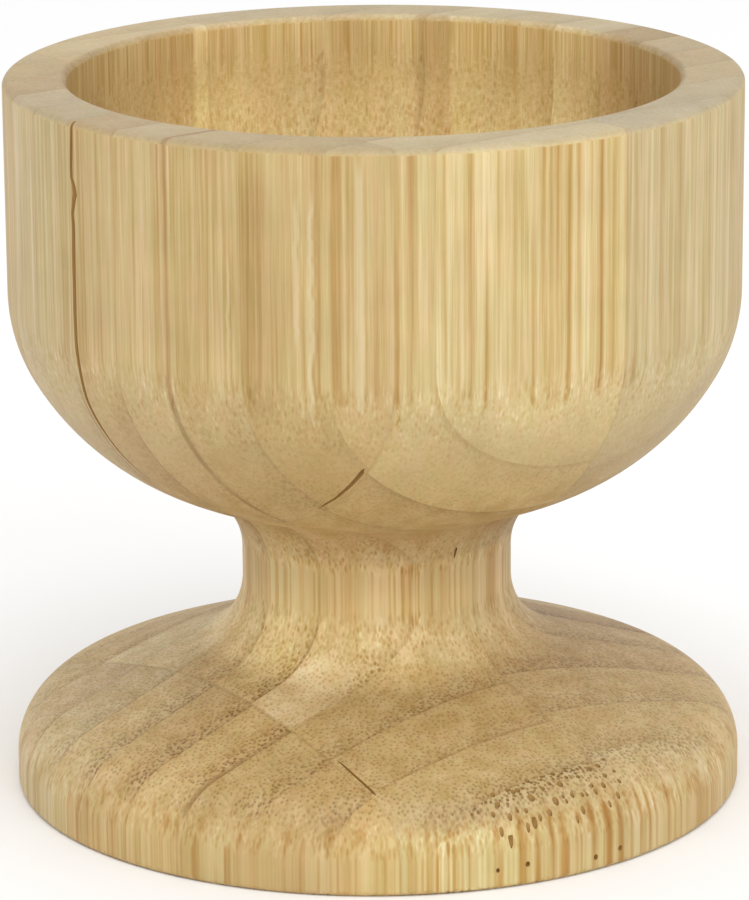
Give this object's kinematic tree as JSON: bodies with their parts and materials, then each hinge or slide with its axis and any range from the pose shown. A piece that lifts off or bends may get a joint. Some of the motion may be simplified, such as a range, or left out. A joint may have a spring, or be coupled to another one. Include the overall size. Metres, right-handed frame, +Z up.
{
  "type": "egg cup",
  "caption": "Footed wooden egg cup turned from laminated bamboo, with a half-round hollow for one egg, a waisted stem and a wide round foot.",
  "frame": {"origin": "centre of the foot's flat underside", "axes": "+Z up along the cup's turning axis, -Y towards the viewer of the picture, +X to the viewer's right"},
  "size_m": [0.0502, 0.0502, 0.0497],
  "materials": {
    "bamboo_pale": "pale laminated bamboo, sanded, waxed to a soft satin",
    "bamboo_mid": "natural laminated bamboo, sanded, waxed to a soft satin",
    "bamboo_dark": "browner laminated bamboo, sanded, waxed to a soft satin"
  },
  "bodies": {
    "root": {"core_middle_front_lath_3": "bamboo_mid", "core_middle_front_lath_2": "bamboo_pale", "core_middle_front_lath_1": "bamboo_mid", "core_middle_back_lath_1": "bamboo_dark", "core_middle_back_lath_2": "bamboo_dark", "core_middle_back_lath_3": "bamboo_pale", "core_right_front_lath_3": "bamboo_dark", "core_right_front_lath_2": "bamboo_mid", "core_right_front_lath_1": "bamboo_dark", "core_right_back_lath_1": "bamboo_pale", "core_right_back_lath_2": "bamboo_mid", "bowl_left_front_lath_5": "bamboo_mid", "bowl_left_front_lath_4": "bamboo_mid", "bowl_left_front_lath_3": "bamboo_mid", "bowl_left_front_lath_2": "bamboo_mid", "bowl_left_front_lath_1": "bamboo_dark", "bowl_left_back_lath_1": "bamboo_pale", "bowl_left_back_lath_2": "bamboo_pale", "bowl_left_back_lath_3": "bamboo_dark", "bowl_left_back_lath_4": "bamboo_mid", "bowl_left_back_lath_5": "bamboo_pale", "bowl_middle_front_lath_6": "bamboo_pale", "bowl_middle_front_lath_5": "bamboo_mid", "bowl_middle_front_lath_4": "bamboo_dark", "bowl_middle_back_lath_4": "bamboo_mid", "bowl_middle_back_lath_5": "bamboo_pale", "bowl_middle_back_lath_6": "bamboo_mid", "bowl_right_front_lath_6": "bamboo_pale", "bowl_right_front_lath_5": "bamboo_mid", "bowl_right_front_lath_4": "bamboo_mid", "bowl_right_back_lath_3": "bamboo_pale", "bowl_right_back_lath_4": "bamboo_mid", "bowl_right_back_lath_5": "bamboo_mid", "bowl_right_back_lath_6": "bamboo_pale", "foot_left_front_lath_5": "bamboo_mid", "foot_left_front_lath_4": "bamboo_mid", "foot_left_front_lath_3": "bamboo_mid", "foot_left_front_lath_2": "bamboo_mid", "foot_left_front_lath_1": "bamboo_dark", "foot_left_back_lath_1": "bamboo_pale", "foot_left_back_lath_2": "bamboo_pale", "foot_left_back_lath_3": "bamboo_dark", "foot_left_back_lath_4": "bamboo_mid", "foot_left_back_lath_5": "bamboo_pale", "foot_middle_front_lath_6": "bamboo_pale", "foot_middle_front_lath_5": "bamboo_mid", "foot_middle_front_lath_4": "bamboo_dark", "foot_middle_back_lath_4": "bamboo_mid", "foot_middle_back_lath_5": "bamboo_pale", "foot_middle_back_lath_6": "bamboo_mid", "foot_right_front_lath_6": "bamboo_pale", "foot_right_front_lath_5": "bamboo_mid", "foot_right_front_lath_4": "bamboo_mid", "foot_right_back_lath_3": "bamboo_pale", "foot_right_back_lath_4": "bamboo_mid", "foot_right_back_lath_5": "bamboo_mid", "foot_right_back_lath_6": "bamboo_pale"}
  },
  "joints": []
}
